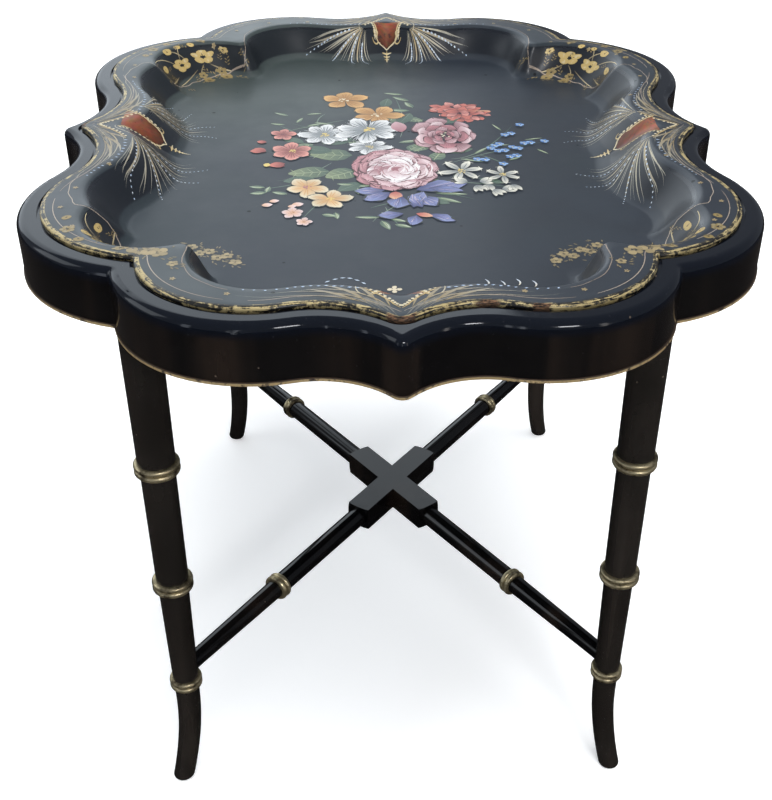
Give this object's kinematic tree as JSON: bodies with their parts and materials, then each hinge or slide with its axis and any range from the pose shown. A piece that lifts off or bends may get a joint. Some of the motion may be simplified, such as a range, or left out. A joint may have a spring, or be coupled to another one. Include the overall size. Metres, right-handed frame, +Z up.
{
  "type": "tray table",
  "caption": "Lobed, deep-welled painted tray that lifts off a rebated frame on turned bamboo-style legs with an X stretcher.",
  "frame": {"origin": "on the floor under the middle of the tray", "axes": "+Z up, +Y to the back along the tray's length, +X to the right"},
  "size_m": [0.645, 0.836, 0.5845],
  "materials": {
    "papier_mache": "satin black lacquer over papier mache, painted flowers, gilt lines, worn gilt edge",
    "black_lacquer": "wood under glossy black lacquer",
    "gilt": "thin wooden bead, dull gold paint, worn",
    "gilt_metal": "antiqued pale gold, dark in the groove",
    "steel": "plain bright screw"
  },
  "bodies": {
    "stand": {"apron_front_left": "black_lacquer", "apron_front_right": "black_lacquer", "apron_back_left": "black_lacquer", "apron_back_right": "black_lacquer", "gilt_bead": "gilt", "leg_front_left": "black_lacquer", "foot_front_left": "black_lacquer", "collar_front_left_upper": "gilt_metal", "collar_front_left_middle": "gilt_metal", "collar_front_left_lower": "gilt_metal", "leg_front_right": "black_lacquer", "foot_front_right": "black_lacquer", "collar_front_right_upper": "gilt_metal", "collar_front_right_middle": "gilt_metal", "collar_front_right_lower": "gilt_metal", "leg_back_left": "black_lacquer", "foot_back_left": "black_lacquer", "collar_back_left_upper": "gilt_metal", "collar_back_left_middle": "gilt_metal", "collar_back_left_lower": "gilt_metal", "leg_back_right": "black_lacquer", "foot_back_right": "black_lacquer", "collar_back_right_upper": "gilt_metal", "collar_back_right_middle": "gilt_metal", "collar_back_right_lower": "gilt_metal", "stretcher_rail_lower": "black_lacquer", "stretcher_rail_upper": "black_lacquer", "collar_stretcher_front_left": "gilt_metal", "collar_stretcher_front_right": "gilt_metal", "collar_stretcher_back_left": "gilt_metal", "collar_stretcher_back_right": "gilt_metal", "lap_screw": "steel"},
    "tray": {"tray": "papier_mache"}
  },
  "joints": [
    {"name": "tray_lift", "type": "slide", "parent": "stand", "child": "tray", "axis": [0, 0, 1], "range_m": [0, 0.12]}
  ]
}
